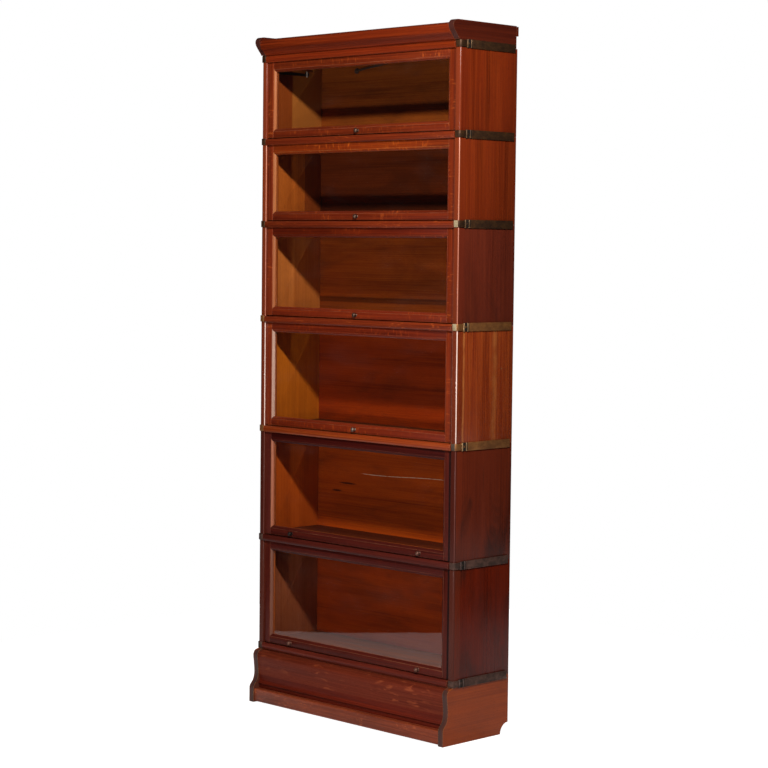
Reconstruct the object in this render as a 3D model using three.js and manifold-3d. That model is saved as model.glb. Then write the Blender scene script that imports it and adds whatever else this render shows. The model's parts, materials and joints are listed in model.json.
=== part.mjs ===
// Barrister bookcase: six glazed sections, stacked between a plinth and a cornice and tied by brass bands.
// Millimetres. X runs to the right, Y to the back and Z up.
// In the stack's own frame Y = 0 is the front edge of the sections' side boards and Z = 0 is the floor.

import * as THREE from 'three';
import { mergeVertices } from 'three/addons/utils/BufferGeometryUtils.js';
import Module from 'manifold-3d';

const wasm = await Module();
wasm.setup();

// Driving dimensions
const caseWidth = 864;
const caseDepth = 248;
const smallSection = 262;
const mediumSection = 303;
const tallSection = 353;
const plinthHeight = 182;
const corniceHeight = 68;
const sideThickness = 20;

// Clearance between pieces that seat on each other, and how far a cut runs past the face it opens
const fit = 0.3;
const overrun = 3;

// Side boards: rounded front edge, and the rabbet that holds the back panel
const side = { outerRound: 8, innerRound: 3, rabbet: 9 };

// Back panel of a section
const back = { thickness: 7 };

// Bottom board, and the moulded rail that is glued to its front edge and hangs below the joint
const board = { thickness: 19, tenon: 6 };
const rail = { drop: 12, rise: 9, bulge: 5, lip: 3.5, glueJoint: 6, flat: 1 };

// Lift door: a frame with a bevelled inner edge, and the rebate that holds the glass
const door = {
  thickness: 19,
  sideGap: 1.5,
  frontGap: 1.5,
  stopGap: 0.5,
  bottomGap: 3,
  topGap: 5,
  stile: 34,
  topRail: 37,
  bottomRail: 28,
  bevelWidth: 8,
  bevelDepth: 8,
  rebate: 6,
};
const glass = { thickness: 3, edgePlay: 0.5 };

// Hinge rod through the top rail, and the grooves in the side boards that its ends ride in
const rod = { radius: 3, endPlay: 0.5 };
const groove = { depth: 8, doorParking: 21, doorHeadroom: 2.5 };

// Turned brass knob with a shank in the door's bottom rail; those of a pair stand in from the door's ends
const knob = {
  radius: 7,
  length: 15,
  neck: 3.2,
  flange: 5.5,
  flangeHeight: 2,
  shank: 2,
  shankLength: 9,
  above: 11,
  fromEnd: 126.5,
};

// Brass band at a joint: plate on the side, two ribs, neck, and a tab that wraps on to the front edge
const band = {
  thickness: 3,
  plateHeight: 25,
  neckHeight: 20,
  plateFront: 32,
  plateRear: 236,
  tabReach: 17,
  ribRadius: 2.4,
  firstRib: 29,
  secondRib: 38,
  ribHeight: 24,
  seatGap: 1.5,
};

// Cornice: bracket-shaped sides, moulded front, top board, and a back board with a lip over the sides' ends
const cornice = {
  nose: 32,
  crestBack: 13,
  frontInset: 3,
  frontDrop: 7,
  frontThickness: 19,
  topThickness: 16,
  backThickness: 9,
  lipProud: 4,
  lipCover: 5,
  lipHeight: 28,
  lipDrop: 2,
};

// Plinth: bracket-shaped sides with a cove at the rear foot, moulded front, back rail
const plinth = {
  toe: 39,
  toeHeight: 44,
  cove: 34,
  frontInset: 3,
  frontRaise: 4,
  frontThickness: 8,
  backInset: 10,
  backThickness: 18,
  backRaise: 50,
  backDrop: 8,
};

// Outline of the cornice bracket: shares of the nose's reach and of the height above the band's seat
const bracketShares = [
  [0.22, 0], [0.27, 0.07], [0.45, 0.19], [0.66, 0.33], [0.9, 0.52], [1, 0.68], [0.95, 0.83], [0.72, 0.96],
];
// Outline of the cornice front above its lower rail: shares of its reach and of its height
const corniceFrontShares = [[0.2, 0.2], [0.4, 0.3], [0.66, 0.4], [0.93, 0.52], [1, 0.7], [0.93, 0.88]];
// Outline of the plinth above its straight toe: shares of the toe's reach and of the height up to the seat
const ogeeShares = [
  [1, 0], [0.98, 0.05], [0.87, 0.11], [0.64, 0.19], [0.51, 0.3], [0.47, 0.43], [0.52, 0.63],
  [0.59, 0.81], [0.56, 0.89], [0.4, 0.96],
];

// How finely round stretches are faceted
const curveSteps = 3;
const arcSteps = 6;
const turnedSteps = 16;

// Places worked out from the values above
const halfWidth = caseWidth / 2;
const innerHalf = halfWidth - sideThickness;
const innerSpan = [fit - innerHalf, innerHalf - fit];
const panelFront = caseDepth - back.thickness;
const doorFront = rail.lip + door.frontGap;
const doorBack = doorFront + door.thickness;
const boardFront = doorBack + door.stopGap;
const pinY = (doorFront + doorBack) / 2;
const pinDrop = rail.drop + groove.doorHeadroom + door.thickness / 2;
const slideTravel = panelFront - pinY - (pinDrop - door.topGap) - groove.doorParking;
const bandSeat = band.neckHeight / 2 + band.seatGap;
const corniceRear = caseDepth - cornice.lipCover;
const pairPlace = innerHalf - door.sideGap - knob.fromEnd;
const singleKnob = { '': 0 };
const knobPair = { _left: -pairPlace, _right: pairPlace };

// Woods, metals and glass
function finish(color, roughness, metalness) {
  return new THREE.MeshStandardMaterial({ color, roughness, metalness });
}
const redOak = finish(0x73280f, 0.38, 0);
const darkOak = finish(0x4c1d16, 0.4, 0);
const plinthOak = finish(0x703520, 0.42, 0);
const innerOak = finish(0x6a3014, 0.6, 0);
const brass = finish(0xa07a3c, 0.35, 1);
const agedBrass = finish(0x54401f, 0.5, 1);
const blackenedBrass = finish(0x2f2a22, 0.65, 1);
const steel = finish(0x6b6966, 0.4, 1);
const paleGlass = new THREE.MeshStandardMaterial({
  color: 0xdfe6e2, roughness: 0.05, metalness: 0, transparent: true, opacity: 0.25,
});

// The sections from the top down
const sections = [
  { height: smallSection, knobs: singleKnob, wood: redOak, metal: agedBrass },
  { height: smallSection, knobs: singleKnob, wood: redOak, metal: agedBrass },
  { height: mediumSection, knobs: singleKnob, wood: redOak, metal: agedBrass },
  { height: tallSection, knobs: singleKnob, wood: redOak, metal: agedBrass },
  { height: tallSection, knobs: knobPair, wood: darkOak, metal: blackenedBrass },
  { height: tallSection, knobs: knobPair, wood: darkOak, metal: blackenedBrass },
];
const stackHeight = sections.reduce((sum, section) => sum + section.height, 0);

// A closed geometry as a solid for cutting and joining
function toSolid(geometry) {
  geometry.deleteAttribute('normal');
  geometry.deleteAttribute('uv');
  const merged = mergeVertices(geometry);
  return new wasm.Manifold(new wasm.Mesh({
    numProp: 3,
    vertProperties: new Float32Array(merged.attributes.position.array),
    triVerts: new Uint32Array(merged.index.array),
  }));
}

function namedMesh(name, solid, material) {
  const { vertProperties, triVerts } = solid.getMesh();
  const geometry = new THREE.BufferGeometry();
  geometry.setAttribute('position', new THREE.BufferAttribute(vertProperties, 3));
  geometry.setIndex(new THREE.BufferAttribute(triVerts, 1));
  geometry.computeVertexNormals();
  const mesh = new THREE.Mesh(geometry, material);
  mesh.name = name;
  return mesh;
}

// A box from its [low, high] span along each axis
function box(spanX, spanY, spanZ) {
  const spans = [spanX, spanY, spanZ];
  const geometry = new THREE.BoxGeometry(...spans.map(([low, high]) => high - low));
  geometry.translate(...spans.map(([low, high]) => (low + high) / 2));
  return toSolid(geometry);
}

// A prism along X of a shape drawn in Y and Z
function prismX(shape, [low, high]) {
  const geometry = new THREE.ExtrudeGeometry(shape, {
    depth: high - low, bevelEnabled: false, curveSegments: curveSteps,
  });
  const turn = new THREE.Matrix4().makeBasis(
    new THREE.Vector3(0, 1, 0), new THREE.Vector3(0, 0, 1), new THREE.Vector3(1, 0, 0),
  );
  geometry.applyMatrix4(turn);
  geometry.translate(low, 0, 0);
  return toSolid(geometry);
}

// A rod along X, a post along Z or a plug along Y, centred on the given point
function cylinder(axis, radius, length, centre) {
  const geometry = new THREE.CylinderGeometry(radius, radius, length, turnedSteps);
  if (axis === 'x') geometry.rotateZ(Math.PI / 2);
  if (axis === 'z') geometry.rotateX(Math.PI / 2);
  geometry.translate(...centre);
  return toSolid(geometry);
}

// The span from near to far on the right hand, or its mirror image on the left
function mirroredSpan(hand, near, far) {
  return hand > 0 ? [near, far] : [-far, -near];
}

// Side board of a section, in plan, extruded up its height
function sideBoard(hand, height) {
  const outerCentre = halfWidth - side.outerRound;
  const innerCentre = innerHalf + side.innerRound;
  const outline = new THREE.Path();
  outline.moveTo(innerHalf, caseDepth);
  outline.lineTo(innerHalf, side.innerRound);
  outline.absarc(innerCentre, side.innerRound, side.innerRound, Math.PI, -Math.PI / 2, false);
  outline.lineTo(outerCentre, 0);
  outline.absarc(outerCentre, side.outerRound, side.outerRound, -Math.PI / 2, 0, false);
  outline.lineTo(halfWidth, caseDepth);
  const points = outline.getPoints(arcSteps).map((point) => new THREE.Vector2(hand * point.x, point.y));
  return toSolid(new THREE.ExtrudeGeometry(new THREE.Shape(points), {
    depth: height - fit, bevelEnabled: false,
  }));
}

// Groove for the rod's end, with the slot by which the rod drops in at the rear
function grooveCut(hand, height) {
  const pinZ = height - pinDrop;
  const radius = rod.radius + fit;
  const rearY = pinY + slideTravel;
  const track = new THREE.Shape();
  track.moveTo(pinY, pinZ + radius);
  track.absarc(pinY, pinZ, radius, Math.PI / 2, -Math.PI / 2, false);
  track.lineTo(rearY, pinZ - radius);
  track.absarc(rearY, pinZ, radius, -Math.PI / 2, 0, false);
  track.lineTo(rearY + radius, height + overrun);
  track.lineTo(rearY - radius, height + overrun);
  track.lineTo(rearY - radius, pinZ + radius);
  return prismX(track, mirroredSpan(hand, innerHalf - overrun, innerHalf + groove.depth));
}

// Half-round front of a rail, from its top edge down to the lip in front of the door below
function addRailFront(outline) {
  const middle = (rail.rise - rail.drop) / 2;
  const halfRise = (rail.rise + rail.drop) / 2;
  outline.lineTo(rail.flat, rail.rise);
  outline.absellipse(rail.flat, middle, rail.bulge + rail.flat, halfRise, Math.PI / 2, -Math.PI / 2, false);
  outline.lineTo(rail.lip, -rail.drop);
  outline.lineTo(rail.lip, 0);
}

function railSolid() {
  const outline = new THREE.Shape();
  const glued = boardFront + rail.glueJoint;
  outline.moveTo(glued, rail.rise);
  addRailFront(outline);
  outline.lineTo(glued, 0);
  return prismX(outline, innerSpan);
}

// Carcass of a section: two sides, bottom board and front rail, glued; open above and in front
function caseSolid(height) {
  const boardHalf = innerHalf + board.tenon;
  const boardRear = panelFront - fit;
  let carcass = box([-boardHalf, boardHalf], [boardFront, boardRear], [0, board.thickness]);
  carcass = carcass.add(railSolid());
  for (const hand of [-1, 1]) {
    const rabbetSpan = mirroredSpan(hand, innerHalf - overrun, innerHalf + side.rabbet);
    const rabbetCut = box(rabbetSpan, [boardRear, caseDepth + overrun], [-overrun, height + overrun]);
    carcass = carcass.add(sideBoard(hand, height).subtract(rabbetCut).subtract(grooveCut(hand, height)));
  }
  return carcass;
}

function backPanel(height) {
  const half = innerHalf + side.rabbet - fit;
  return box([-half, half], [panelFront, caseDepth], [fit, height - fit]);
}

// Outer edges of a door, in its section's frame, and the edges of its glazed opening
function doorEdges(height) {
  const half = innerHalf - door.sideGap;
  const low = rail.rise + door.bottomGap;
  const high = height - door.topGap;
  return {
    half,
    low,
    high,
    paneHalf: half - door.stile,
    paneLow: low + door.bottomRail,
    paneHigh: high - door.topRail,
  };
}

// Bevel round the glazed opening, widening to the door's front face
function bevelCut({ paneHalf, paneLow, paneHigh }) {
  const opening = new THREE.Shape();
  opening.moveTo(-paneHalf, paneLow);
  opening.lineTo(paneHalf, paneLow);
  opening.lineTo(paneHalf, paneHigh);
  opening.lineTo(-paneHalf, paneHigh);
  const geometry = new THREE.ExtrudeGeometry(opening, {
    depth: overrun,
    bevelThickness: door.bevelDepth,
    bevelSize: door.bevelWidth,
    bevelSegments: 1,
  });
  geometry.rotateX(Math.PI / 2);
  geometry.translate(0, doorFront, 0);
  return toSolid(geometry);
}

// Door frame with its opening, bevel, glass rebate, rod bore and knob holes
function doorFrame(height, knobs) {
  const edges = doorEdges(height);
  const { half, low, high, paneHalf, paneLow, paneHigh } = edges;
  const lap = door.rebate;
  const throughDoor = [doorFront - overrun, doorBack + overrun];
  const opening = box([-paneHalf, paneHalf], throughDoor, [paneLow, paneHigh]);
  const rebate = box(
    [-paneHalf - lap, paneHalf + lap],
    [doorFront + door.bevelDepth, doorBack + overrun],
    [paneLow - lap, paneHigh + lap],
  );
  const bore = cylinder('x', rod.radius + fit, caseWidth, [0, pinY, height - pinDrop]);
  let frame = box([-half, half], [doorFront, doorBack], [low, high]);
  frame = frame.subtract(opening).subtract(bevelCut(edges)).subtract(rebate).subtract(bore);
  for (const place of Object.values(knobs)) {
    const holeLength = knob.shankLength + fit + overrun;
    const holeMiddle = doorFront + holeLength / 2 - overrun;
    const hole = cylinder('y', knob.shank + fit, holeLength, [place, holeMiddle, low + knob.above]);
    frame = frame.subtract(hole);
  }
  return frame;
}

function glassPane(height) {
  const { paneHalf, paneLow, paneHigh } = doorEdges(height);
  const lap = door.rebate - glass.edgePlay;
  const front = doorFront + door.bevelDepth + fit;
  return box(
    [-paneHalf - lap, paneHalf + lap],
    [front, front + glass.thickness],
    [paneLow - lap, paneHigh + lap],
  );
}

function hingeRod(height) {
  const half = innerHalf + groove.depth - rod.endPlay;
  return cylinder('x', rod.radius, half + half, [0, pinY, height - pinDrop]);
}

// Knob turned about the axis that stands out of the door; its flange seats on the door's face
function knobSolid(place, height) {
  const ballCentre = knob.length - knob.radius;
  const neckAngle = Math.acos(knob.neck / knob.radius);
  const outline = new THREE.Path();
  outline.moveTo(0, -knob.shankLength);
  outline.lineTo(knob.shank, -knob.shankLength);
  outline.lineTo(knob.shank, fit);
  outline.lineTo(knob.flange, fit);
  outline.lineTo(knob.flange, knob.flangeHeight);
  outline.lineTo(knob.neck, knob.flangeHeight);
  outline.absarc(0, ballCentre, knob.radius, -neckAngle, Math.PI / 2, false);
  const points = outline.getPoints(arcSteps);
  points[points.length - 1].x = 0;
  const geometry = new THREE.LatheGeometry(points, turnedSteps);
  geometry.rotateX(Math.PI);
  geometry.translate(place, doorFront, doorEdges(height).low + knob.above);
  return toSolid(geometry);
}

// Band across the joint at Z = 0
function bandSolid(hand) {
  const inner = halfWidth + fit;
  const outer = inner + band.thickness;
  const plateSpan = mirroredSpan(hand, inner, outer);
  const tabSpan = mirroredSpan(hand, halfWidth - band.tabReach, outer);
  const plateHalf = band.plateHeight / 2;
  const neckHalf = band.neckHeight / 2;
  const tabFront = -fit - band.thickness;
  const neckRear = band.plateFront + overrun;
  let strap = box(plateSpan, [band.plateFront, band.plateRear], [-plateHalf, plateHalf]);
  strap = strap.add(box(plateSpan, [tabFront, neckRear], [-neckHalf, neckHalf]));
  strap = strap.add(box(tabSpan, [tabFront, -fit], [-neckHalf, neckHalf]));
  for (const place of [band.firstRib, band.secondRib]) {
    strap = strap.add(cylinder('z', band.ribRadius, band.ribHeight, [hand * (outer - fit), place, 0]));
  }
  return strap;
}

// Cornice pieces, in a frame whose Z = 0 is the top joint
function corniceSide(hand) {
  const rise = corniceHeight - bandSeat;
  const [start, ...curve] = bracketShares.map(([forwardShare, upShare]) => (
    new THREE.Vector2(-cornice.nose * forwardShare, bandSeat + rise * upShare)
  ));
  const outline = new THREE.Shape();
  outline.moveTo(corniceRear, 0);
  outline.lineTo(0, 0);
  outline.lineTo(0, start.y);
  outline.lineTo(start.x, start.y);
  outline.splineThru([...curve, new THREE.Vector2(-cornice.crestBack, corniceHeight)]);
  outline.lineTo(corniceRear, corniceHeight);
  return prismX(outline, mirroredSpan(hand, innerHalf, halfWidth));
}

function corniceFront() {
  const top = corniceHeight - cornice.frontDrop;
  const reach = cornice.nose - cornice.frontInset;
  const backFace = rail.lip + cornice.frontThickness;
  const curve = corniceFrontShares.map(([forwardShare, upShare]) => (
    new THREE.Vector2(-reach * forwardShare, top * upShare)
  ));
  const outline = new THREE.Shape();
  outline.moveTo(backFace, 0);
  outline.lineTo(backFace, top);
  outline.lineTo(-cornice.crestBack, top);
  outline.splineThru(curve.reverse());
  addRailFront(outline);
  return prismX(outline, innerSpan);
}

// Top board and back board, glued; the lip on the back board covers the sides' rear ends
function corniceTop() {
  const top = corniceHeight - cornice.frontDrop;
  const boardFrontEdge = rail.lip + cornice.frontThickness + fit;
  const backSpan = [corniceRear - cornice.backThickness, caseDepth + cornice.lipProud];
  const lipTop = corniceHeight - cornice.lipDrop;
  const lipBottom = lipTop - cornice.lipHeight;
  const topBoard = box(innerSpan, [boardFrontEdge, corniceRear], [top - cornice.topThickness, top]);
  const backBoard = box(innerSpan, [backSpan[0], corniceRear], [0, top]);
  const lip = box(innerSpan, backSpan, [lipBottom, lipTop]);
  const lipEnds = box([-halfWidth, halfWidth], [corniceRear + fit, backSpan[1]], [lipBottom, lipTop]);
  return topBoard.add(backBoard).add(lip).add(lipEnds);
}

// Ogee from the seat down to the straight toe
function ogeePoints(reach, seat) {
  const rise = seat - plinth.toeHeight;
  return ogeeShares.map(([forwardShare, upShare]) => (
    new THREE.Vector2(-reach * forwardShare, plinth.toeHeight + rise * upShare)
  )).reverse();
}

function plinthSide(hand) {
  const top = plinthHeight - fit;
  const seat = plinthHeight - bandSeat;
  const outline = new THREE.Shape();
  outline.moveTo(-plinth.toe, 0);
  outline.lineTo(caseDepth - plinth.cove, 0);
  outline.absarc(caseDepth, 0, plinth.cove, Math.PI, Math.PI / 2, true);
  outline.lineTo(caseDepth, top);
  outline.lineTo(0, top);
  outline.lineTo(0, seat);
  outline.splineThru(ogeePoints(plinth.toe, seat));
  return prismX(outline, mirroredSpan(hand, innerHalf, halfWidth));
}

function plinthFront() {
  const reach = plinth.toe - plinth.frontInset;
  const crown = plinthHeight - rail.drop - door.bottomGap;
  const tongueTop = plinthHeight - fit;
  const backFace = doorFront + plinth.frontThickness;
  const outline = new THREE.Shape();
  outline.moveTo(-reach, plinth.frontRaise);
  outline.lineTo(backFace, plinth.frontRaise);
  outline.lineTo(backFace, tongueTop);
  outline.lineTo(doorFront, tongueTop);
  outline.lineTo(doorFront, crown);
  outline.lineTo(0, crown);
  outline.splineThru(ogeePoints(reach, crown));
  return prismX(outline, innerSpan);
}

function plinthBack() {
  const rear = caseDepth - plinth.backInset;
  const top = plinthHeight - plinth.backDrop;
  return box(innerSpan, [rear - plinth.backThickness, rear], [plinth.backRaise, top]);
}

// The stack, from the floor up and then from the top down
const bookcase = new THREE.Group();

const base = new THREE.Group();
base.add(namedMesh('plinth_side_left', plinthSide(-1), plinthOak));
base.add(namedMesh('plinth_side_right', plinthSide(1), plinthOak));
base.add(namedMesh('plinth_front', plinthFront(), plinthOak));
base.add(namedMesh('plinth_back_rail', plinthBack(), plinthOak));
bookcase.add(base);

function addBands(number, jointHeight, metal) {
  const pair = new THREE.Group();
  pair.position.z = jointHeight;
  pair.add(namedMesh(`band_left_${number}`, bandSolid(-1), metal));
  pair.add(namedMesh(`band_right_${number}`, bandSolid(1), metal));
  bookcase.add(pair);
}

const head = new THREE.Group();
head.position.z = plinthHeight + stackHeight;
head.add(namedMesh('cornice_side_left', corniceSide(-1), darkOak));
head.add(namedMesh('cornice_side_right', corniceSide(1), darkOak));
head.add(namedMesh('cornice_front', corniceFront(), redOak));
head.add(namedMesh('cornice_top', corniceTop(), darkOak));
bookcase.add(head);
addBands(0, head.position.z, agedBrass);

let sectionBase = head.position.z;
sections.forEach(({ height, knobs, wood, metal }, index) => {
  const number = index + 1;
  sectionBase -= height;
  const section = new THREE.Group();
  section.position.z = sectionBase;
  section.add(namedMesh(`case_${number}`, caseSolid(height), wood));
  section.add(namedMesh(`back_panel_${number}`, backPanel(height), innerOak));
  section.add(namedMesh(`hinge_rod_${number}`, hingeRod(height), steel));
  section.add(namedMesh(`door_frame_${number}`, doorFrame(height, knobs), wood));
  section.add(namedMesh(`door_glass_${number}`, glassPane(height), paleGlass));
  for (const [handName, place] of Object.entries(knobs)) {
    section.add(namedMesh(`knob_${number}${handName}`, knobSolid(place, height), brass));
  }
  bookcase.add(section);
  addBands(number, sectionBase, metal);
});

// The part's origin is on the floor, at the middle of its footprint
const frontmost = -plinth.toe;
const rearmost = caseDepth + cornice.lipProud;
bookcase.position.y = -(frontmost + rearmost) / 2;

export default bookcase;
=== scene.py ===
import json
import math
import random

import bmesh
import bpy
from mathutils import Matrix, Vector


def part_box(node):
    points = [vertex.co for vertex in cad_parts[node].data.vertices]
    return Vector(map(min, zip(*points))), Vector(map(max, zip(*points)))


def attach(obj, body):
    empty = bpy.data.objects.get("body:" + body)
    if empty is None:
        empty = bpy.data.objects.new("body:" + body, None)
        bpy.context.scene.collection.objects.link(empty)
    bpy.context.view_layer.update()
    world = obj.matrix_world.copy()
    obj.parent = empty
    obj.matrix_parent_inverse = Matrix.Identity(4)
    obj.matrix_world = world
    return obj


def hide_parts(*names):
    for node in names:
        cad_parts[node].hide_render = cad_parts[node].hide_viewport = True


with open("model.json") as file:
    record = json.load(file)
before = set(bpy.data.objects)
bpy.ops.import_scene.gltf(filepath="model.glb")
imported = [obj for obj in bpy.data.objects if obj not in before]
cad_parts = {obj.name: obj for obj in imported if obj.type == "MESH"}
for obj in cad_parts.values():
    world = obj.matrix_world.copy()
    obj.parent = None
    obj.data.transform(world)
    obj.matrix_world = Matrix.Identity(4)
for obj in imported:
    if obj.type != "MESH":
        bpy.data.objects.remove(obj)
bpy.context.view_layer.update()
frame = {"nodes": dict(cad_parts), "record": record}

# Barrister bookcase: six glazed lift-door sections of stained oak between a plinth and a cornice.
# Metres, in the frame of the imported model: X to the right, Y to the back, Z up, floor at Z = 0.

MM = 0.001

# The photograph's camera: place, yaw to the left of +Y, pitch down and roll, and the lens on a 36 mm sensor
CAMERA_PLACE = (4.6184, -4.5955, 1.4671)
CAMERA_YAW, CAMERA_PITCH, CAMERA_ROLL = 44.988, 3.678, 0.621
CAMERA_LENS, CAMERA_SENSOR = 98.2, 36.0

# Light: the shadows in the photograph's sections give two small lamps, a key high to the right of the
# camera's line and a fill low in front; the room is dim, and the pale floor ends a little way in front.
# A third lamp lights the back and the left side, which the photograph doesn't show
LAMPS = {  # place, size, power, and whether varnish and metal mirror it
    "key": ((2.25, -2.2, 3.285), 0.22, 145.0, True), "fill": ((0.65, -2.83, 0.909), 0.16, 25.5, True),
    "rear": ((-2.6, 3.4, 2.3), 1.6, 170.0, False),
}
LAMP_AIM = (0.1, 0.0, 1.05)
WORLD_FILL, WORLD_GLOSS = 0.05, 0.012
FLOOR_OUTLINE = ((-1.8, -0.48), (-1.1, -1.11), (-0.6, -1.68), (2.4, -3.08), (2.4, 1.8), (-1.8, 1.8))
FLOOR_ALBEDO, FLOOR_SHOWN, FLOOR_SHADE = 0.7, 0.9, 0.4

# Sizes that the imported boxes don't hold
FIT = 0.3 * MM
SIDE_PROUD = 5 * MM
OUTER_ROUND, INNER_ROUND = 4 * MM, 3 * MM
RABBET = 9 * MM
SHELF_THICKNESS, SHELF_BEHIND_DOOR = 19 * MM, 0.5 * MM
RAIL_RISE, RAIL_DROP, RAIL_BULGE, RAIL_LIP = 9 * MM, 12 * MM, 5 * MM, 3.5 * MM
RAIL_FLAT, RAIL_LAP, RAIL_STEPS = 1 * MM, 6 * MM, 18
GLAZING_LAP, STRIP_WAIST, STRIP_SHOULDER = 5.5 * MM, 0.45, 0.4
BEAD_WIDTH, BEAD_DEPTH, BEAD_LAND, BEAD_QUIRK = 8 * MM, 8 * MM, 0.8 * MM, 0.7 * MM
BEAD_STEPS = 7
BAND_THICKNESS, BAND_NECK_HALF, BAND_PLATE_HALF = 3 * MM, 10 * MM, 12.5 * MM
BAND_BLOCK, BAND_PLATE_FRONT, BAND_TAB_REACH = 23 * MM, 50 * MM, 17 * MM
BAND_RIBS, BAND_RIB_RADIUS, BAND_RIB_HALF = (26.5 * MM, 43 * MM), 2.4 * MM, 12 * MM
BAND_FLOOR, PIN_END_PLAY = 1.8 * MM, 0.5 * MM
ROUND_STEPS, TURNED_STEPS, CURVE_STEPS, ARRIS_SEGMENTS = 8, 48, 5, 2

# Plinth's fascia from its crown down: shares of the reach in front of the doors and of the crown's height
FASCIA_SHARES = (
    (0.4, 0.97), (0.56, 0.92), (0.59, 0.86), (0.52, 0.72), (0.45, 0.58), (0.39, 0.46), (0.4, 0.41),
    (0.52, 0.385), (0.54, 0.365), (0.46, 0.345),
)
FASCIA_GAP, FASCIA_FOOT, HOLLOW_SHARE, TOE_TOP = 3 * MM, 0.42, 0.52, 45 * MM
ARRIS, WEAR_REACH = 0.7 * MM, 1.6 * MM
SMOOTH_BELOW, FLAT_WITHIN = math.radians(40), math.radians(0.5)
GLUE_BLOCK, GLUE_BLOCK_RISE = 32 * MM, (55 * MM, 165 * MM)

# Equaliser: reaches back from the front, drops from the top, and the arm's gaps to the back panel
TRACK_THICKNESS, TRACK_RUN, TRACK_DROP = 1.2 * MM, (47 * MM, 168 * MM), (44 * MM, 35 * MM)
CLIP_RUN, CLIP_DROP = (170 * MM, 177 * MM), (46 * MM, 28 * MM)
HUB_RUN, HUB_DROP, ARM_HALF, ARM_GAPS = 174 * MM, 37 * MM, 3 * MM, (8 * MM, 5 * MM)
ARM_PIVOT, ARM_PIVOT_DROP, ARM_END, ARM_END_DROP = -247 * MM, 30 * MM, -60 * MM, 8 * MM

# Outlines of turned pieces in mm: (height, radius)
SCREW_OUTLINE = ((-1.4, 3.2), (0.6, 3.2), (1.1, 1.92), (1.2, 0.4))
HUB_OUTLINE = ((0.0, 9), (0.6, 9), (1, 8), (1, 2))
PIVOT_OUTLINE = ((0.0, 9), (3, 9), (4, 8), (4.2, 4), (9, 3.6), (10, 2.6))
KNOB_OUTLINE = (
    (0.0, 5.5), (1.3, 5.5), (2.0, 4.9), (2.2, 3.4), (4.2, 3.2), (4.9, 3.6), (5.6, 4.9), (6.6, 6.1),
    (7.8, 6.8), (9.2, 7.0), (10.8, 6.7), (12.2, 5.8), (13.3, 4.4), (13.9, 3.0), (14.1, 2.6), (14.7, 1.2),
    (14.8, 0.4),
)

SECTIONS = range(1, 7)
JOINTS = range(7)
HANDS = {"left": -1, "right": 1}
AXES = {"x": (0, 1, 2), "y": (1, 0, 2), "z": (2, 0, 1)}


def linear(code):
    """A hexadecimal sRGB colour as linear RGBA."""
    shares = [int(code[at:at + 2], 16) / 255 for at in (0, 2, 4)]
    made = [s / 12.92 if s <= 0.04045 else ((s + 0.055) / 1.055) ** 2.4 for s in shares]
    return (*made, 1.0)


class Graph:
    """A node tree built call by call; an input that is a socket is linked, any other is set."""

    def __init__(self, tree):
        self.tree = tree
        tree.nodes.clear()

    def add(self, kind, inputs=(), **settings):
        made = self.tree.nodes.new(kind)
        for key, value in settings.items():
            setattr(made, key, value)
        for key, value in dict(inputs).items():
            if isinstance(value, bpy.types.NodeSocket):
                self.tree.links.new(value, made.inputs[key])
            else:
                made.inputs[key].default_value = value
        return made

    def node(self, kind, inputs=(), **settings):
        return self.add("ShaderNode" + kind, inputs, **settings)

    def math(self, operation, *operands, clamp=False):
        operands = dict(enumerate(operands))
        return self.node("Math", operands, operation=operation, use_clamp=clamp).outputs[0]

    def times(self, first, second):
        return self.math("MULTIPLY", first, second)

    def away(self, value, place):
        """How far a value is from a place, either way."""
        return self.math("ABSOLUTE", self.math("SUBTRACT", value, place))

    def own_place(self):
        return self.node("TexCoord").outputs["Object"]

    def split(self, vector):
        return self.node("SeparateXYZ", {0: vector}).outputs

    def join(self, parts):
        return self.node("CombineXYZ", parts).outputs[0]

    def vector(self, operation, first, second):
        return self.node("VectorMath", {0: first, 1: second}, operation=operation)

    def noise(self, place, scale, detail=2.0, roughness=0.5, distortion=0.0):
        stretched = self.vector("MULTIPLY", place, scale).outputs[0]
        return self.node("TexNoise", {
            "Vector": stretched, "Scale": 1.0, "Detail": detail, "Roughness": roughness,
            "Distortion": distortion,
        }).outputs["Fac"]

    def span(self, value, low, high, to_low=0.0, to_high=1.0):
        """The value's share of the way from low to high, smooth at both ends."""
        return self.node("MapRange", {
            "Value": value, "From Min": low, "From Max": high, "To Min": to_low, "To Max": to_high,
        }, interpolation_type="SMOOTHSTEP").outputs["Result"]

    def mix(self, share, first, second):
        return self.node("Mix", {0: share, 6: first, 7: second}, data_type="RGBA").outputs[2]

    def edges(self, radius):
        """1 on arrises within the radius, 0 on flats."""
        rounded = self.node("Bevel", {"Radius": radius}, samples=4).outputs[0]
        true = self.node("NewGeometry").outputs["Normal"]
        return self.math("SUBTRACT", 1.0, self.vector("DOT_PRODUCT", rounded, true).outputs["Value"])

    def bump(self, height, distance, strength):
        return self.node("Bump", {
            "Height": height, "Distance": distance, "Strength": strength,
        }).outputs[0]

    def finish(self, shader, kind="ShaderNodeOutputMaterial"):
        self.tree.links.new(shader.outputs[0], self.add(kind).inputs["Surface"])


def material(name):
    """A new material and the graph of its nodes."""
    made = bpy.data.materials.new(name)
    made.use_nodes = True
    return made, Graph(made.node_tree)


def own_grain(graph):
    """Grain coordinates laid on a piece's own mesh: x along the grain."""
    return graph.node("Attribute", attribute_name="grain").outputs["Vector"]


def node_grain(along):
    """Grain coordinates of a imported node: its own place, turned so that x runs along the grain."""
    def read(graph):
        split = graph.split(graph.own_place())
        return graph.join({at: split[axis] for at, axis in enumerate(AXES[along])})
    return read


# DARKENING_TONE is painted shade on shelves and back panels, and darkens the doors' right ends
END_GRAIN, DARKENING_TONE, STAIN = "3e2a26", "140706", "2e1610"
FLECK_EDGE = (0.55, 0.72)

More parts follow.
